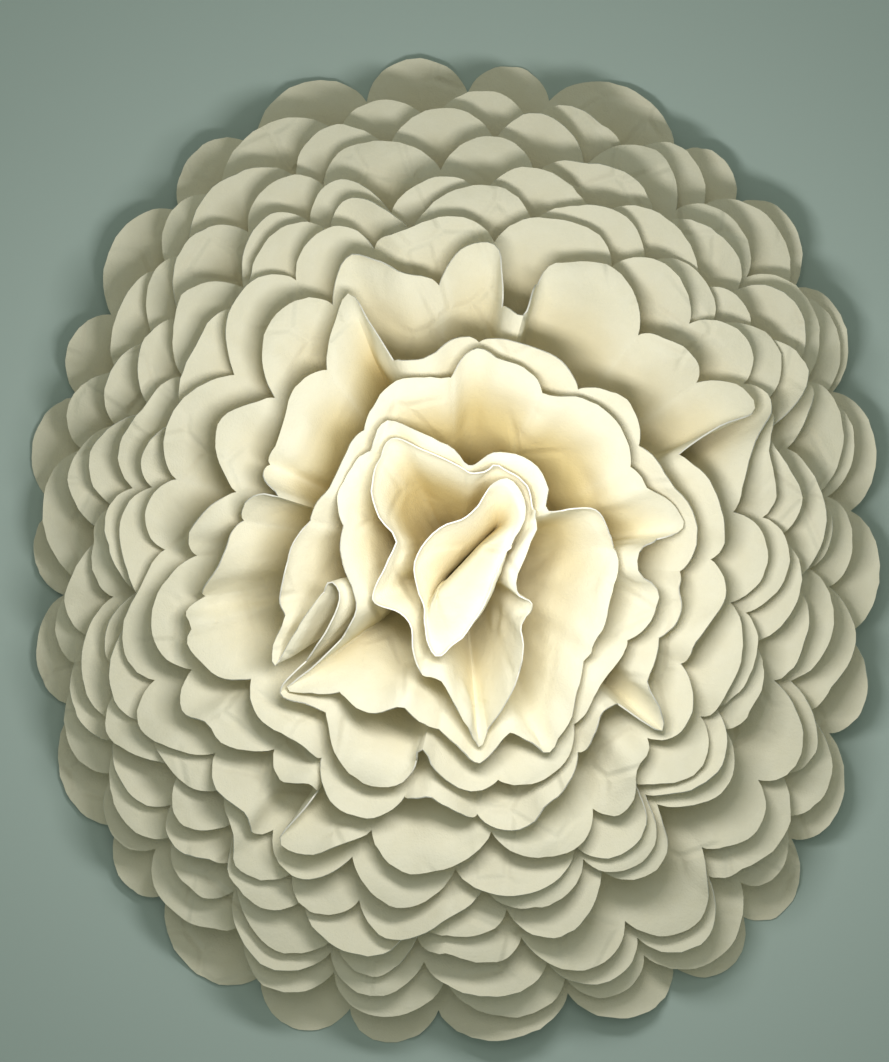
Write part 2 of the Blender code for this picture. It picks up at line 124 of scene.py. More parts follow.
# Rim lines of the inner sheets from the heart outwards, in millimetres as seen from above
DRAWN_LINES = {
    "heart_sheet_1": [
        (12.3, 4), (14.2, 8.5), (14, 13), (11, 17.3), (7.3, 16.5), (4, 12), (0.5, 8.7), (-4, 7),
        (-8, 3.5), (-10.8, -1.5), (-10.5, -7), (-9.3, -12), (-9.2, -17.5), (-8.2, -22), (-5.8, -25),
        (-2, -22.3), (2, -18), (5.5, -12.5), (8.5, -6), (10.5, -1),
    ],
    "heart_sheet_2": [
        (17, 7), (18, 13.5), (15, 20), (9, 23), (3, 20.5), (-1, 22), (-9, 25), (-16.5, 28), (-20.5, 22),
        (-21.5, 16), (-19.5, 9.5), (-16, 3.5), (-18, -2), (-21.5, -10.5), (-15, -13.5), (-12, -17),
        (-11.5, -23), (-9.5, -28.5), (-5, -29), (-2, -33.5), (1.5, -40), (4.5, -45.5), (7.5, -40.5),
        (10.5, -35.5), (13.5, -29), (15, -22), (14.5, -17), (16.5, -13.5), (16, -10.5), (12, -8),
        (11.5, -4), (14, 1.5),
    ],
    "heart_sheet_3": [
        (20, 10.5), (19.5, 15.5), (16, 21), (8, 24), (2, 21.5), (-2, 24.5), (-9, 27.5), (-17.5, 31),
        (-23.5, 24), (-26, 18), (-28.3, 13), (-28.8, 7), (-28.3, 1), (-26.5, -4.5), (-25, -8),
        (-24.5, -13), (-29, -20), (-34, -25.5), (-40, -30.5), (-34, -32.5), (-29, -34), (-24, -36.5),
        (-20, -37), (-14, -35.5), (-11, -38.5), (-7, -41.5), (-1, -45.5), (4, -49.5), (8.5, -46.5),
        (12.5, -43.5), (16, -44.5), (20, -46.5), (23, -42), (25.5, -38), (27, -33), (29, -28.5),
        (31, -24), (31.5, -20), (33.5, -16), (34.5, -10), (37, -4), (37.8, 1), (36, 6), (32.5, 11),
        (27, 11.5),
    ],
    "heart_sheet_4": [
        (42.5, 20.5), (40, 26), (37, 30.5), (33, 34), (28, 37), (22, 38.5), (18, 43), (13, 45.5),
        (9, 46.5), (5, 49), (1, 48), (-3, 43.5), (-9, 42), (-14, 41), (-18, 38.5), (-21, 35), (-25, 29.5),
        (-28, 22), (-31, 16), (-34, 13), (-37.5, 8), (-40.5, 3), (-42, -3), (-43.5, -8), (-44.5, -12),
        (-43.5, -17), (-44.5, -21), (-43.5, -26), (-40, -20.5), (-36.5, -14), (-32, -6.5), (-29, -9.5),
        (-31, -16), (-36, -23.5), (-43.5, -32.5), (-37, -36), (-32.5, -39.5), (-30, -45), (-26, -50),
        (-20, -53.5), (-14, -54), (-10.5, -50.5), (-9, -46), (-6.5, -49), (-2.5, -52.5), (3, -55.5),
        (9, -55.5), (15, -53.5), (21, -50.5), (26, -46), (28.5, -40), (30, -35), (32, -29.5), (36, -25.5),
        (41, -21), (44.5, -16), (46, -10), (45, -7), (42, -4.5), (41, -1.5), (43, 2), (47, 3.5), (52, 6),
        (50.5, 10), (46.5, 13.5), (43, 16),
    ],
    "inner_sheet_1": [
        (56, 0), (55.5, 6), (53, 12), (49, 17.5), (46.5, 24), (43, 30), (39, 35.5), (34, 39), (29, 42),
        (23, 46), (15, 49), (9, 51.5), (4, 53.5), (-2, 50.5), (-7, 46.5), (-12, 46), (-16, 48), (-21, 54),
        (-25.5, 60), (-30, 53), (-34.5, 45), (-38.5, 38), (-40, 32), (-43, 26), (-48, 23), (-47, 18.5),
        (-42.5, 14), (-46.5, 14.5), (-51, 13), (-55, 8), (-56, 2), (-58, -3.5), (-63, -8), (-66, -13),
        (-63, -17), (-63.5, -20), (-60, -25), (-57, -29), (-52, -31.5), (-49.5, -35), (-45, -39),
        (-39, -42.5), (-36, -46.5), (-34.5, -52), (-30, -57.5), (-24, -60.5), (-17, -61.5), (-11, -59),
        (-7, -57.5), (-2.5, -60.5), (4, -65), (11, -65.5), (17, -62.5), (20, -58.5), (23, -57), (27, -53),
        (30, -48), (31.5, -42), (33.5, -37), (37, -36), (41, -38), (47, -41.5), (47, -36), (44, -30),
        (47, -25), (50.5, -19), (52.5, -13), (52.5, -8), (55, -4),
    ],
    "inner_sheet_2": [
        (64, 0), (62, 6), (60, 12), (58, 18), (55, 25), (60, 30), (67, 33), (66, 39), (61, 44), (55, 48),
        (49, 52), (45, 57), (40, 62), (34, 66), (26, 68), (20.5, 70), (17.5, 64), (15, 57), (11.5, 60),
        (10.5, 66), (8.5, 72), (1, 72.5), (-6, 69), (-13, 66), (-19, 68), (-26, 70), (-32, 65), (-38, 60),
        (-44, 53), (-47, 45), (-48, 37), (-54, 31), (-56, 24), (-57, 17), (-61, 11), (-66, 4), (-69, -4),
        (-71, -12), (-71, -21), (-69, -29), (-65, -36), (-58, -38), (-55, -43), (-49, -48), (-43, -53),
        (-36, -54), (-36, -59), (-42, -66), (-35, -69), (-28, -68.5), (-21, -71), (-13, -73), (-5, -72),
        (4, -71), (13, -70), (21, -68.5), (29, -67), (36, -63), (39.5, -56), (41, -49), (47, -47),
        (52, -42), (55, -35), (56, -28), (55, -21), (58, -15), (62, -9),
    ],
    "inner_sheet_3": [
        (45, -56), (55, -50), (61, -42), (62, -33), (65, -24), (68, -14), (71, -4), (71, 7), (68, 17),
        (69, 27), (74, 36), (72, 46), (64, 55), (55, 62), (47, 69), (36, 75), (24, 77), (11, 80),
        (-2, 79), (-14, 76), (-26, 79), (-37, 74), (-47, 66), (-54, 56), (-58, 45), (-65, 36), (-70, 27),
        (-74, 16), (-76, 5), (-75, -6), (-78, -16), (-79, -28), (-76, -39), (-67, -46), (-59, -54),
        (-50, -60), (-49, -69), (-38, -76), (-26, -77), (-14, -81), (-1, -80), (12, -79), (25, -76),
        (37, -70), (44, -63),
    ],
}

# Round-lying outer sheets, inner to outer: how far each rim line has gone from the last drawn line to the
# outermost one, and how much the lines wave
OUTER_STEPS = [0.18, 0.34, 0.52, 0.68, 0.85, 1.0]
OUTER_REACH = 0.99
OUTER_WAVE = 5.0 * MM
OUTER_WAVE_COUNT = 1.7
BUNCHING = 3.2
BUNCH_COUNT = 2.1
BUNCH_SHIFT = 7.3
LEAST_GAP = 0.09

# Where one outer sheet lies bare at the lower right: the other lines bunch up on its two sides
BARE_ANGLE = math.radians(-46.0)
BARE_WIDTH = math.radians(34.0)
BARE_GAPS = [0.02, 0.02, 0.66, 0.1, 0.08, 0.12]
BARE_EDGE = 0.5

# Pinched folds of the outer sheets: (sheet, angle in degrees, how far the paper is pinched inwards)
PINCH_WIDTH = math.radians(9.0)
PINCHES = [
    (1, 19, 4.5 * MM), (2, 155, 4.0 * MM), (3, 178, 4.5 * MM), (4, 72, 4.0 * MM), (1, 128, 4.0 * MM),
    (3, 312, 4.0 * MM), (4, 236, 4.0 * MM), (2, 268, 4.0 * MM), (4, 340, 4.0 * MM), (1, 215, 4.0 * MM),
]

# Finer shape of the paper: cupped lobes, creases that start at the valleys, ripples, dents and ragged cuts
CUP_DEPTH = 1.1 * MM
CUP_START = 12.0 * MM
CUP_END = 4.0 * MM
CREASE_DEPTH = 0.5 * MM
CREASE_WIDTH = 1.6 * MM
CREASE_LENGTH = 24.0 * MM
RIPPLE_HEIGHT = 0.7 * MM
RIPPLE_SIZE = 22.0 * MM
CRUMPLE_HEIGHT = 0.25 * MM
CRUMPLE_SIZE = 7.0 * MM
DENT_HEIGHTS = {"heart_sheet_1": 0.6 * MM}
STEEP_DENT_HEIGHT = 2.2 * MM
OUTER_DENT_HEIGHT = 1.2 * MM
DENT_SIZE = 15.0 * MM
DENT_PATCH = 30.0 * MM
DENT_PATCH_EDGE = (-0.1, 0.35)
DENT_SHIFT = 9.7
CUT_WANDER = 0.35 * MM
CUT_SIZE = 2.5 * MM
CUT_SHIFT = 5.3
SHARP_ANGLE = math.radians(50.0)

# Painted shade: a darker, warmer tone painted into the paper's colour deep in the folds where shade falls,
# weaker on the lower side of the flower and on the outer sheets
PAINTED_SHADE_START = 2.0 * MM
PAINTED_SHADE_DEPTH = 21.0 * MM
PAINTED_SHADE_BAND = 15.0 * MM
LOWER_SIDE_PAINTED_SHADE = 0.35
OUTER_PAINTED_SHADE = 0.5
PAINTED_SHADE_TONE = (0.66, 0.53, 0.25)

# Finish of the paper: the grain's values, sizes and heights in millimetres, and pale and deep colours
GRAIN_VALUES = {
    "Grain size": 0.45,
    "Grain height": 0.09,
    "Cloud size": 4.0,
    "Cloud height": 0.2,
    "Crease size": 13.0,
    "Crease height": 0.35,
}
GRAIN_DETAILS = {"Grain": 1, "Cloud": 2}
GRAIN_ROUGHNESS = 0.6
CREASE_LINE = 0.12
CREASE_PATCH = 25.0 * MM
CREASE_PATCH_EDGE = (0.48, 0.62)
IVORY_PAPER = ((0.90, 0.85, 0.665), (0.85, 0.79, 0.58))
IVORY_ROUGHNESS = 0.8
CUT_EDGE = ((0.93, 0.90, 0.80), (0.88, 0.84, 0.72))
CUT_ROUGHNESS = 0.9
PAPER_SPECULAR = 0.3

# Finish of the pin: bright and dull colours, lines along the rolling, cloudy patches
BRASS = ((0.78, 0.58, 0.28), (0.60, 0.43, 0.20))
BRASS_LINES = (150, 4000, 4000)
BRASS_DETAIL = 3
BRASS_CLOUDS = 400
BRASS_ROUGHNESS = (0.25, 0.5)
BRASS_BUMP = 0.03 * MM

# Floor and lights
FLOOR_HALF_WIDTH = 1.5
FLOOR_COLOUR = (0.47, 0.565, 0.51)
FLOOR_ROUGHNESS = 0.9
LAMP_PLACE = (0.006, 0.010, 0.165)
LAMP_AIM = (0, -0.006, 0.03)
LAMP_SIZE = (0.09, 0.03)
LAMP_POWER = 0.164
LAMP_COLOUR = (0.98, 0.985, 1.0)
SKY_ENERGY = 0.36
SKY_WIDTH = math.radians(30)
SKY_TILT = math.radians(-14)
SKY_COLOUR = (0.97, 1.0, 0.94)
WORLD_COLOUR = (0.86, 1.0, 0.90)
WORLD_STRENGTH = 0.21

# Camera: straight above, with a picture this wide at this height
CAMERA_LENS = 250
SENSOR_WIDTH = 36
CAMERA_MIDDLE = (-2.5 * MM, 4.8 * MM)
PICTURE_WIDTH = 0.258
PICTURE_HEIGHT = 0.035


def smooth_step(low, high, value):
    """0 below low, 1 above high, with a smooth rise between."""
    share = np.clip((value - low) / (high - low), 0, 1)
    return share * share * (3 - 2 * share)


def oval_reach(angles):
    """How far the dome's foot is from the middle at these angles; the foot is a rather square oval."""
    across = np.abs(2 * np.cos(angles) / DOME_WIDTH) ** DOME_SQUARENESS
    along = np.abs(2 * np.sin(angles) / DOME_LENGTH) ** DOME_SQUARENESS
    return (across + along) ** (-1 / DOME_SQUARENESS)


def dome_height(points):
    """Heights above the table of rim points that are seen at these places from above."""
    reaches = oval_reach(np.arctan2(points[:, 1], points[:, 0]))
    share = np.minimum(1, np.hypot(points[:, 0], points[:, 1]) / reaches)
    dip = DIP_DEPTH * np.exp(-((np.hypot(points[:, 0], points[:, 1]) / DIP_RADIUS) ** 2))
    return DOME_HEIGHT * (1 - share**DOME_POWER) ** (1 / DOME_POWER) - dip


def drawn_points(line, turns):
    """Points at these shares of a turn of the closed smooth curve through the line's points."""
    corners = np.array(line) * MM
    places = (turns % 1.0) * len(line)
    k = places.astype(int)
    t = (places - k)[:, None]
    a, b, c, d = (corners[(k + n) % len(line)] for n in (-1, 0, 1, 2))
    return (2 * b + (c - a) * t + (2 * a - 5 * b + 4 * c - d) * t**2 + (3 * b - a - 3 * c + d) * t**3) / 2


def outer_step(layer, angle):
    """How far an outer rim line has gone to the outermost one at this angle; the lines bunch and spread."""
    around = Vector((math.cos(angle), math.sin(angle), 0)) * BUNCH_COUNT
    gaps = []
    for k in range(len(OUTER_STEPS)):
        bare = max(0.0, 1 - abs((angle - BARE_ANGLE + math.pi) % (2 * math.pi) - math.pi) / BARE_WIDTH)
        bare = smooth_step(0.0, BARE_EDGE, bare)
        gap = OUTER_STEPS[k] - (OUTER_STEPS[k - 1] if k else 0)
        gap *= 2 ** (BUNCHING * noise.noise(around + Vector((0, 0, BUNCH_SHIFT * k))))
        gaps.append(gap * (1 - bare) + BARE_GAPS[k] * bare)
    spare = 1 - LEAST_GAP * len(gaps)
    return LEAST_GAP * (layer + 1) + spare * sum(gaps[:layer + 1]) / sum(gaps)


def outer_points(layer, turns):
    """Points at these shares of a turn of an outer sheet's rim line, which waves like its neighbours."""
    inner = drawn_points(DRAWN_LINES["inner_sheet_3"], turns)
    angles = np.arctan2(inner[:, 1], inner[:, 0])
    lengths = np.hypot(inner[:, 0], inner[:, 1])
    steps = np.array([outer_step(layer, angle) for angle in angles])
    waves = [noise.noise(Vector((math.cos(a), math.sin(a), 0)) * OUTER_WAVE_COUNT) for a in angles]
    reaches = lengths + (oval_reach(angles) * OUTER_REACH - lengths + OUTER_WAVE * np.array(waves)) * steps
    for sheet, degrees, depth in PINCHES:
        if layer <= sheet:
            off = np.abs((angles - math.radians(degrees) + math.pi) % (2 * math.pi) - math.pi)
            follow = steps / np.array([outer_step(sheet, angle) for angle in angles])
            reaches -= depth * follow * np.maximum(0, 1 - off / PINCH_WIDTH)
    return np.stack([reaches * np.cos(angles), reaches * np.sin(angles)], axis=1)


def smoothed(values, span):
    """The running mean of a closed list of values, taken twice."""
    for repeat in range(2):
        padded = np.concatenate([values[-span - 1:], values, values[:span]])
        totals = np.cumsum(padded, axis=0)
        values = (totals[2 * span + 1:] - totals[:-2 * span - 1]) / (2 * span + 1)
    return values


def between(values, shares):
    """The values at these shares of a turn, from values that are evenly spaced around the sheet."""
    places = (shares % 1.0) * len(values)
    k = places.astype(int) % len(values)
    part = places - np.floor(places)
    if values.ndim > 1:
        part = part[:, None]
    return values[k] + (values[(k + 1) % len(values)] - values[k]) * part


class GatheredSheet:
    """One sheet of paper, and the way that it is gathered."""

    def __init__(self, name, line_points, hub_height):
        self.name = name
        self.hub_height = hub_height
        self.hub_radius, self.lift_end = STEEP_SHEETS.get(name, (HUB_RADIUS, LIFT_END))
        self.lobe_rise = CRUMPLED_LOBES.get(name, LOBE_RISE)
        floor = RIM_FLOOR + (hub_height - LOWEST_HUB) * RIM_FLOOR_STEP
        points = line_points(np.arange(SAMPLES) / SAMPLES)
        rims = np.column_stack([points, np.maximum(floor, dome_height(points)) - hub_height])
        steps = np.linalg.norm(np.roll(rims, -1, axis=0) - rims, axis=1)
        lengths = np.concatenate([[0], np.cumsum(steps)])
        self.lobes = round(lengths[-1] / LOBE_PITCH)
        self.reach = np.linalg.norm(rims, axis=1).mean()
        self.slant = self.reach - self.lobe_rise * LOBE_ROOT_SHARE
        draw = random.Random(self.lobes * 100 + round(hub_height / MM * 10))
        lowest = 0 if hub_height == LOWEST_HUB else -1
        self.curls = np.array([LOBE_CURL * draw.uniform(lowest, 1) for lobe in range(self.lobes)])
        strays = [LOBE_STRAY * draw.uniform(-1, 1) for lobe in range(self.lobes)]
        self.valleys = (np.arange(self.lobes) + strays) / self.lobes
        self.cups = np.array([draw.uniform(-1, 1) for lobe in range(self.lobes)])
        self.creases = np.array([draw.uniform(0.2, 1) for lobe in range(self.lobes)])
        wanted = lengths[-1] * np.arange(SAMPLES) / SAMPLES
        closed = np.vstack([rims, rims[:1]])
        self.rims = np.stack([np.interp(wanted, lengths, closed[:, axis]) for axis in range(3)], axis=1)
        self.bases = smoothed(self.rims, round(SAMPLES * FOLD_SMOOTHING))
        angles = np.unwrap(np.arctan2(self.rims[:, 1], self.rims[:, 0]))
        turns = 2 * math.pi * np.arange(SAMPLES) / SAMPLES
        self.leads = smoothed(angles - turns, round(SAMPLES * HUB_SMOOTHING))

    def lobe_places(self, shares):
        """For each share of a turn: the lobe that it is in, and how far across that lobe it is."""
        places = (shares - self.valleys[0]) % 1.0 + self.valleys[0]
        lobes = np.clip(np.searchsorted(self.valleys, places, side="right") - 1, 0, self.lobes - 1)
        ends = np.append(self.valleys[1:], self.valleys[0] + 1)
        widths = ends[lobes] - self.valleys[lobes]
        return lobes, np.clip((places - self.valleys[lobes]) / widths, 0, 1), widths

    def rim_distances(self, shares):
        """How far the scalloped rim of the flat sheet is from the pin at these shares of a turn."""
        lobes, across, widths = self.lobe_places(shares)
        arc = np.arcsin((2 * across - 1) * math.sin(LOBE_HALF_ARC))
        out = (np.cos(arc) - math.cos(LOBE_HALF_ARC)) / (1 - math.cos(LOBE_HALF_ARC))
        return self.slant + self.lobe_rise * np.minimum(1, widths * self.lobes) * out

    def place(self, shares, distances):
        """Where points of the flat sheet go: at these shares of a turn and these distances from the pin."""
        rims = between(self.rims, shares)
        angles = between(self.leads, shares) + 2 * math.pi * shares
        bases = between(self.bases, shares) * (self.lift_end / self.reach)
        lifts = np.clip((distances - self.hub_radius) / (self.lift_end - self.hub_radius), 0, 1)[:, None]
        flat = np.stack([np.cos(angles), np.sin(angles), np.zeros_like(angles)], axis=1)
        hubs = flat * np.minimum(distances, self.hub_radius)[:, None]
        raised = np.maximum(0, (distances - self.lift_end) / (self.reach - self.lift_end))
        placed = hubs + (bases - hubs) * lifts + (rims - bases) * raised[:, None]
        placed[:, 2] += (rims - bases)[:, 2] * ARCHING * raised * (1 - raised)
        inward = np.column_stack([-rims[:, :2] * rims[:, 2:], (rims[:, :2] ** 2).sum(axis=1)])
        inward /= np.linalg.norm(inward, axis=1)[:, None]
        placed += inward * self.relief(shares, distances)[:, None]
        placed[:, 2] += self.hub_height
        if self.name == "heart_sheet_1":
            placed = self.squeeze(placed, distances)
        return placed

    def relief(self, shares, distances):
        """How far the paper rises from its plain gathered shape: curled and cupped lobes, and creases."""
        lobes, across, widths = self.lobe_places(shares)
        tips = np.maximum(0, (distances - self.slant + LOBE_ROOT) / (self.lobe_rise + LOBE_ROOT))
        curl = self.curls[lobes] * tips**2
        cup = CUP_DEPTH * self.cups[lobes] * (1 - (2 * across - 1) ** 2)
        cup *= smooth_step(-CUP_START, CUP_END, distances - self.slant)
        nearest = np.where(across < 0.5, lobes, (lobes + 1) % self.lobes)
        off = np.minimum(across, 1 - across) * widths * 2 * math.pi * distances
        fade = smooth_step(-CREASE_LENGTH, 0, distances - self.slant)
        crease = -CREASE_DEPTH * self.creases[nearest] * np.exp(-off / CREASE_WIDTH) * fade
        return curl + cup + crease

    def squeeze(self, placed, distances):
        """Draws the innermost sheet together towards a slit, most of all halfway up."""
        shares = np.minimum(1, distances / self.slant)
        middles = np.array(SLIT_MIDDLE) * shares[:, None]
        along = np.array([math.cos(SLIT_ANGLE), math.sin(SLIT_ANGLE)])
        half = SLIT_HALF_LENGTH * shares
        nearest = middles + np.clip((placed[:, :2] - middles) @ along, -half, half)[:, None] * along
        near = smooth_step(*SLIT_START, shares) * (1 - smooth_step(*SLIT_END, shares))
        below = (placed[:, :2] - middles) @ np.array([along[1], -along[0]])
        placed[:, 2] += CREST_LIFT * near * smooth_step(0.0, CREST_WIDTH, below)
        placed[:, :2] += (nearest - placed[:, :2]) * (SLIT_SQUEEZE * near)[:, None]
        return placed


def all_sheets():
    """Every sheet from the outermost, which lies lowest on the pin, to the heart."""
    lines = []
    for name, line in DRAWN_LINES.items():
        lines.append((name, lambda turns, line=line: drawn_points(line, turns)))
    for layer in range(len(OUTER_STEPS)):
        lines.append((f"outer_sheet_{layer + 1}", lambda turns, layer=layer: outer_points(layer, turns)))
    sheets = []
    hub_height = LOWEST_HUB
    for name, line_points in reversed(lines):
        sheets.append(GatheredSheet(name, line_points, hub_height))
        hub_height += STEEP_PITCH if name in STEEP_SHEETS else SHEET_PITCH
    return sheets


def ripple(points):
    """Soft unevenness of the paper, the same for sheets that lie close together."""
    moves = np.zeros(len(points))
    for k, point in enumerate(points):
        place = Vector(point)
        moves[k] = RIPPLE_HEIGHT * noise.noise(place / RIPPLE_SIZE)
        moves[k] += CRUMPLE_HEIGHT * noise.noise(place / CRUMPLE_SIZE)
    return moves


def dents(shares, distances, layer):
    """Flat facets with crisp edges between them, pressed into patches of the flat sheet."""
    moves = np.zeros(len(shares))
    turns = 2 * math.pi * shares
    for k, (turn, distance) in enumerate(zip(turns, distances)):
        place = Vector((math.cos(turn) * distance, math.sin(turn) * distance, 0))
        patch = smooth_step(*DENT_PATCH_EDGE, noise.noise(place / DENT_PATCH + Vector((0, 0, layer))))
        if patch > 0:
            spread = noise.voronoi(place / DENT_SIZE + Vector((0, 0, DENT_SHIFT * layer)))[0]
            moves[k] = patch * (spread[0] - spread[1])
    return moves


def ragged(shares, distances, layer):
    """How far the knife strayed from the line along the rim."""
    strays = np.zeros(len(shares))
    for k, (turn, distance) in enumerate(zip(2 * math.pi * shares, distances)):
        place = Vector((math.cos(turn) * distance, math.sin(turn) * distance, 0))
        strays[k] = noise.noise(place / CUT_SIZE + Vector((0, 0, CUT_SHIFT * layer)))
    return CUT_WANDER * strays


def build_sheet(sheet, layer, middle):
    """Makes the sheet as a fine grid that is cut, gathered and given the paper's thickness."""
    columns = sheet.lobes * LOBE_COLUMNS
    bm = bmesh.new()
    bmesh.ops.create_grid(bm, x_segments=columns, y_segments=SHEET_ROWS, size=1)
    mesh = bpy.data.meshes.new(sheet.name)
    bm.to_mesh(mesh)
    spots = np.array([vert.co for vert in mesh.vertices])
    column = np.round((spots[:, 0] + 1) / 2 * columns).astype(int) % columns
    row = (spots[:, 1] + 1) / 2
    lobe, step = column // LOBE_COLUMNS, column % LOBE_COLUMNS
    arc = LOBE_HALF_ARC * (2 * step / LOBE_COLUMNS - 1)
    across = 0.5 + np.sin(arc) / (2 * math.sin(LOBE_HALF_ARC))
    ends = np.append(sheet.valleys[1:], sheet.valleys[0] + 1)
    shares = sheet.valleys[lobe] + (ends[lobe] - sheet.valleys[lobe]) * across
    rim = sheet.rim_distances(shares)
    rim += ragged(shares, rim, layer)
    distances = PIN_HOLE_RADIUS + (rim - PIN_HOLE_RADIUS) * (1 - (1 - row) ** ROW_SPREAD)
    placed = sheet.place(shares, distances)
    placed[:, 2] += ripple(placed) * smooth_step(sheet.hub_radius, sheet.slant, distances)
    placed[:, :2] += middle
    for vert, spot in zip(bm.verts, placed):
        vert.co = spot
    bm.normal_update()
    height = STEEP_DENT_HEIGHT if sheet.name in STEEP_SHEETS else OUTER_DENT_HEIGHT
    height = DENT_HEIGHTS.get(sheet.name, height)
    pressed = height * dents(shares, distances, layer)
    pressed *= smooth_step(sheet.hub_radius, sheet.lift_end, distances)
    # Painted shade: how strongly the darker warm tone is painted in at each point, more the deeper it lies
    # below the rim, weaker on the lower side and on the outer sheets
    painted_shade_layer = bm.verts.layers.float.new("painted_fold_shade")
    shade = LOWER_SIDE_PAINTED_SHADE + (1 - LOWER_SIDE_PAINTED_SHADE) * smooth_step(-PAINTED_SHADE_BAND, PAINTED_SHADE_BAND, placed[:, 1])
    shade *= 1 if sheet.name in CRUMPLED_LOBES else OUTER_PAINTED_SHADE
    tones = shade * smooth_step(PAINTED_SHADE_START, PAINTED_SHADE_DEPTH, rim - distances)
    for vert, press, tone in zip(bm.verts, pressed, tones):
        vert.co += vert.normal * press
        vert.co.z = max(vert.co.z, RIM_FLOOR)
        vert[painted_shade_layer] = tone
    bmesh.ops.remove_doubles(bm, verts=bm.verts, dist=MERGE_DISTANCE)
    bmesh.ops.recalc_face_normals(bm, faces=bm.faces)
    bm.to_mesh(mesh)
    bm.free()
    mesh.shade_smooth()
    obj = bpy.data.objects.new("fine_" + sheet.name, mesh)
    bpy.context.scene.collection.objects.link(obj)
    wall = obj.modifiers.new("paper", "SOLIDIFY")
    wall.thickness = PAPER_THICKNESS
    wall.offset = 0
    wall.material_offset_rim = 1
    return obj


def finished(obj):
    """The object with its wall made part of its mesh, shaded smooth but for its sharp cut edges."""
    depsgraph = bpy.context.evaluated_depsgraph_get()
    mesh = bpy.data.meshes.new_from_object(obj.evaluated_get(depsgraph))
    obj.modifiers.clear()
    obj.data = mesh
    mesh.shade_smooth()
    mesh.set_sharp_from_angle(angle=SHARP_ANGLE)


def crease_lines(nodes, links, place, given):
    """The height of thin crisp creases, in patches; they run straight down through each sheet."""
    size = nodes.new("ShaderNodeMath")
    size.operation = "DIVIDE"
    size.inputs[0].default_value = 1
    links.new(given.outputs["Crease size"], size.inputs[1])
    cells = nodes.new("ShaderNodeTexVoronoi")
    cells.feature = "DISTANCE_TO_EDGE"
    cells.voronoi_dimensions = "2D"
    links.new(place, cells.inputs["Vector"])
    links.new(size.outputs[0], cells.inputs["Scale"])
    line = nodes.new("ShaderNodeMapRange")
    line.interpolation_type = "SMOOTHSTEP"
    line.inputs["From Max"].default_value = CREASE_LINE
    links.new(cells.outputs["Distance"], line.inputs["Value"])
    patches = nodes.new("ShaderNodeTexNoise")
    patches.inputs["Scale"].default_value = MM / CREASE_PATCH
    patches.inputs["Detail"].default_value = 0
    links.new(place, patches.inputs["Vector"])
    patch = nodes.new("ShaderNodeMapRange")
    patch.interpolation_type = "SMOOTHSTEP"
    patch.inputs["From Min"].default_value = CREASE_PATCH_EDGE[0]
    patch.inputs["From Max"].default_value = CREASE_PATCH_EDGE[1]
    links.new(patches.outputs["Fac"], patch.inputs["Value"])
    masked = nodes.new("ShaderNodeMath")
    masked.operation = "MULTIPLY"
    links.new(line.outputs["Result"], masked.inputs[0])
    links.new(patch.outputs["Result"], masked.inputs[1])
    height = nodes.new("ShaderNodeMath")
    height.operation = "MULTIPLY"
    links.new(masked.outputs[0], height.inputs[0])
    links.new(given.outputs["Crease height"], height.inputs[1])
    return height


def paper_grain_group():
    """A node group: fine paper grain, as a mask for the colour and a normal for the surface."""
    group = bpy.data.node_groups.new("paper_grain", "ShaderNodeTree")
    face = group.interface
    for name, default in GRAIN_VALUES.items():
        socket = face.new_socket(name, in_out="INPUT", socket_type="NodeSocketFloat")
        socket.default_value = default
    face.new_socket("Mask", in_out="OUTPUT", socket_type="NodeSocketFloat")
    face.new_socket("Normal", in_out="OUTPUT", socket_type="NodeSocketVector")
    nodes, links = group.nodes, group.links
    given = nodes.new("NodeGroupInput")
    result = nodes.new("NodeGroupOutput")
    coords = nodes.new("ShaderNodeTexCoord")
    scaled = nodes.new("ShaderNodeVectorMath")
    scaled.operation = "SCALE"
    scaled.inputs["Scale"].default_value = 1 / MM
    links.new(coords.outputs["Object"], scaled.inputs[0])
    heights = []
    for kind, detail in GRAIN_DETAILS.items():
        part = nodes.new("ShaderNodeMath")
        part.operation = "DIVIDE"
        part.inputs[0].default_value = 1
        links.new(given.outputs[kind + " size"], part.inputs[1])
        texture = nodes.new("ShaderNodeTexNoise")
        texture.inputs["Detail"].default_value = detail
        texture.inputs["Roughness"].default_value = GRAIN_ROUGHNESS
        links.new(scaled.outputs[0], texture.inputs["Vector"])
        links.new(part.outputs[0], texture.inputs["Scale"])
        height = nodes.new("ShaderNodeMath")
        height.operation = "MULTIPLY"
        links.new(texture.outputs["Fac"], height.inputs[0])
        links.new(given.outputs[kind + " height"], height.inputs[1])
        heights.append(height)
        if kind == "Cloud":
            links.new(texture.outputs["Fac"], result.inputs["Mask"])
    heights.append(crease_lines(nodes, links, scaled.outputs[0], given))
    total = nodes.new("ShaderNodeMath")
    total.operation = "ADD"
    links.new(heights[0].outputs[0], total.inputs[0])
    links.new(heights[1].outputs[0], total.inputs[1])
    whole = nodes.new("ShaderNodeMath")
    whole.operation = "ADD"
    links.new(total.outputs[0], whole.inputs[0])
    links.new(heights[2].outputs[0], whole.inputs[1])
    bump = nodes.new("ShaderNodeBump")
    bump.inputs["Distance"].default_value = MM
    links.new(whole.outputs[0], bump.inputs["Height"])
    links.new(bump.outputs["Normal"], result.inputs["Normal"])
    return group


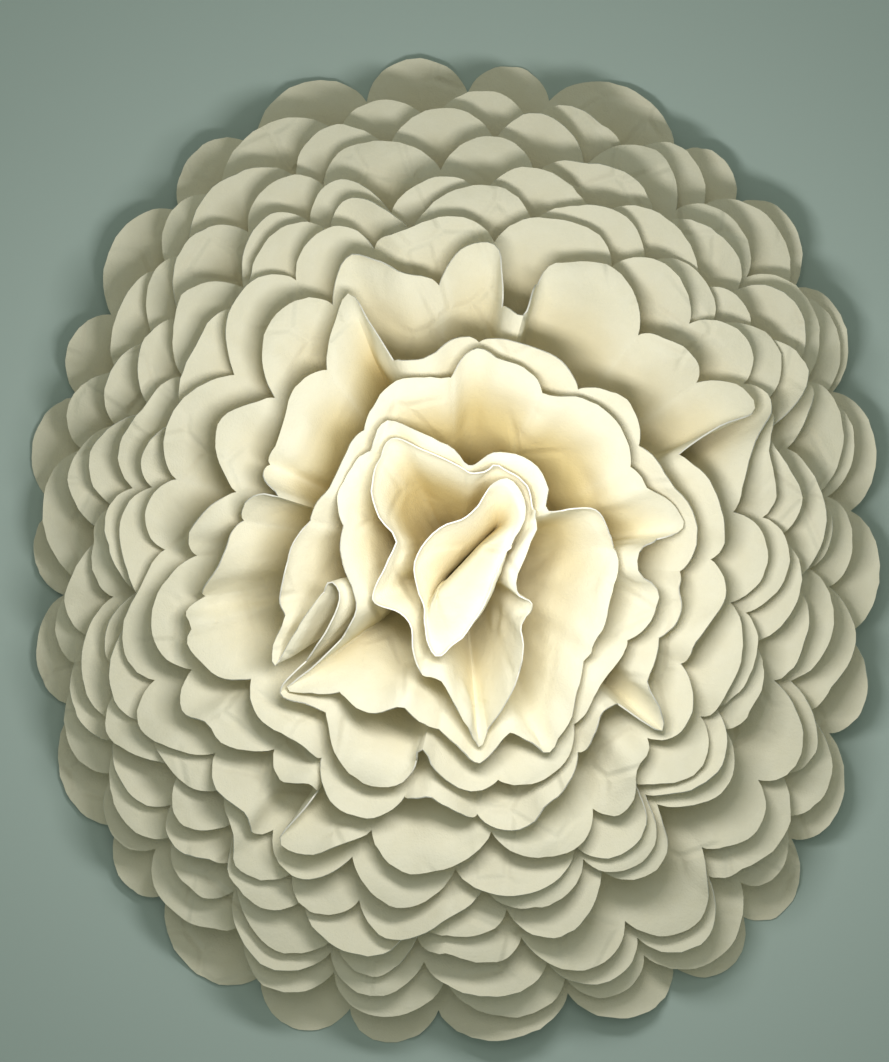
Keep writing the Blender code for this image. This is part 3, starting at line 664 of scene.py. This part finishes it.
def paper_material(name, group, colours, roughness):
    """Paper: a pale and a deep colour mixed in soft clouds, with a darker warm tone painted in as shade
    deep in the folds, and grain.
    """
    pale, deep = colours
    mat = bpy.data.materials.new(name)
    mat.use_nodes = True
    nodes, links = mat.node_tree.nodes, mat.node_tree.links
    shader = nodes["Principled BSDF"]
    grain = nodes.new("ShaderNodeGroup")
    grain.node_tree = group
    clouds = nodes.new("ShaderNodeMix")
    clouds.data_type = "RGBA"
    clouds.inputs["A"].default_value = (*deep, 1)
    clouds.inputs["B"].default_value = (*pale, 1)
    links.new(grain.outputs["Mask"], clouds.inputs["Factor"])
    # Painted shade: the darker warm tone is mixed in by each point's painted shade amount
    depth = nodes.new("ShaderNodeAttribute")
    depth.attribute_name = "painted_fold_shade"
    painted_shade_mix = nodes.new("ShaderNodeMix")
    painted_shade_mix.data_type = "RGBA"
    painted_shade_mix.inputs["B"].default_value = (*PAINTED_SHADE_TONE, 1)
    links.new(depth.outputs["Fac"], painted_shade_mix.inputs["Factor"])
    links.new(clouds.outputs["Result"], painted_shade_mix.inputs["A"])
    links.new(painted_shade_mix.outputs["Result"], shader.inputs["Base Color"])
    links.new(grain.outputs["Normal"], shader.inputs["Normal"])
    shader.inputs["Roughness"].default_value = roughness
    shader.inputs["Specular IOR Level"].default_value = PAPER_SPECULAR
    return mat


def brass_material(name):
    """Rolled brass, with fine lines along the rolling and dull cloudy patches."""
    bright, dull = BRASS
    mat = bpy.data.materials.new(name)
    mat.use_nodes = True
    nodes, links = mat.node_tree.nodes, mat.node_tree.links
    shader = nodes["Principled BSDF"]
    shader.inputs["Metallic"].default_value = 1
    coords = nodes.new("ShaderNodeTexCoord")
    stretch = nodes.new("ShaderNodeMapping")
    stretch.inputs["Scale"].default_value = BRASS_LINES
    links.new(coords.outputs["Object"], stretch.inputs["Vector"])
    lines = nodes.new("ShaderNodeTexNoise")
    lines.inputs["Scale"].default_value = 1
    lines.inputs["Detail"].default_value = BRASS_DETAIL
    links.new(stretch.outputs["Vector"], lines.inputs["Vector"])
    clouds = nodes.new("ShaderNodeTexNoise")
    clouds.inputs["Scale"].default_value = BRASS_CLOUDS
    links.new(coords.outputs["Object"], clouds.inputs["Vector"])
    colours = nodes.new("ShaderNodeMix")
    colours.data_type = "RGBA"
    colours.inputs["A"].default_value = (*bright, 1)
    colours.inputs["B"].default_value = (*dull, 1)
    links.new(clouds.outputs["Fac"], colours.inputs["Factor"])
    links.new(colours.outputs["Result"], shader.inputs["Base Color"])
    rough = nodes.new("ShaderNodeMapRange")
    rough.inputs["To Min"].default_value = BRASS_ROUGHNESS[0]
    rough.inputs["To Max"].default_value = BRASS_ROUGHNESS[1]
    links.new(lines.outputs["Fac"], rough.inputs["Value"])
    links.new(rough.outputs["Result"], shader.inputs["Roughness"])
    bump = nodes.new("ShaderNodeBump")
    bump.inputs["Distance"].default_value = BRASS_BUMP
    links.new(lines.outputs["Fac"], bump.inputs["Height"])
    links.new(bump.outputs["Normal"], shader.inputs["Normal"])
    return mat


def plain_material(name, colour, roughness):
    """A material of one colour, for the floor."""
    mat = bpy.data.materials.new(name)
    mat.use_nodes = True
    shader = mat.node_tree.nodes["Principled BSDF"]
    shader.inputs["Base Color"].default_value = (*colour, 1)
    shader.inputs["Roughness"].default_value = roughness
    return mat


def area_light(name, place, aim, size, power, colour):
    """A rectangular soft light that faces a point."""
    lamp = bpy.data.lights.new(name, "AREA")
    lamp.shape = "RECTANGLE"
    lamp.size, lamp.size_y = size
    lamp.energy = power
    lamp.color = colour
    obj = bpy.data.objects.new(name, lamp)
    obj.location = place
    obj.rotation_mode = "QUATERNION"
    obj.rotation_quaternion = (Vector(aim) - Vector(place)).to_track_quat("-Z", "Y")
    bpy.context.scene.collection.objects.link(obj)


def build_flower():
    """Every sheet in its fine form, and the pin's finish."""
    low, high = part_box("split_pin")
    middle = np.array(((low + high) / 2).xy)
    group = paper_grain_group()
    face = paper_material("ivory_paper", group, IVORY_PAPER, IVORY_ROUGHNESS)
    edge = paper_material("cut_edge", group, CUT_EDGE, CUT_ROUGHNESS)
    for layer, sheet in enumerate(all_sheets()):
        obj = build_sheet(sheet, layer, middle)
        obj.data.materials.append(face)
        obj.data.materials.append(edge)
        finished(obj)
        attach(obj, "root")
        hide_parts(sheet.name)
    pin = bpy.data.objects["split_pin"]
    pin.material_slots[0].material = brass_material("rolled_brass")


def build_floor():
    """The plain floor that the flower lies on."""
    bm = bmesh.new()
    bmesh.ops.create_grid(bm, x_segments=1, y_segments=1, size=FLOOR_HALF_WIDTH)
    mesh = bpy.data.meshes.new("floor")
    bm.to_mesh(mesh)
    bm.free()
    floor = bpy.data.objects.new("floor", mesh)
    bpy.context.scene.collection.objects.link(floor)
    mesh.materials.append(plain_material("sage_floor", FLOOR_COLOUR, FLOOR_ROUGHNESS))


def build_lights():
    """A soft lamp close above the heart, a broad weak sky light, and an even light from all round."""
    area_light("near", LAMP_PLACE, LAMP_AIM, LAMP_SIZE, LAMP_POWER, LAMP_COLOUR)
    sun = bpy.data.lights.new("sky", "SUN")
    sun.energy = SKY_ENERGY
    sun.angle = SKY_WIDTH
    sun.color = SKY_COLOUR
    lamp = bpy.data.objects.new("sky", sun)
    lamp.rotation_euler = (SKY_TILT, 0, 0)
    bpy.context.scene.collection.objects.link(lamp)
    world = bpy.data.worlds.new("surroundings")
    world.use_nodes = True
    background = world.node_tree.nodes["Background"]
    background.inputs["Color"].default_value = (*WORLD_COLOUR, 1)
    background.inputs["Strength"].default_value = WORLD_STRENGTH
    bpy.context.scene.world = world
    bpy.context.scene.view_settings.view_transform = "Standard"


def build_camera():
    """The camera, straight above the flower and looking down."""
    camera = bpy.data.cameras.new("camera")
    camera.lens = CAMERA_LENS
    camera.sensor_width = SENSOR_WIDTH
    obj = bpy.data.objects.new("camera", camera)
    obj.location = (*CAMERA_MIDDLE, PICTURE_HEIGHT + PICTURE_WIDTH * CAMERA_LENS / SENSOR_WIDTH)
    bpy.context.scene.collection.objects.link(obj)
    bpy.context.scene.camera = obj


build_flower()
build_floor()
build_lights()
build_camera()
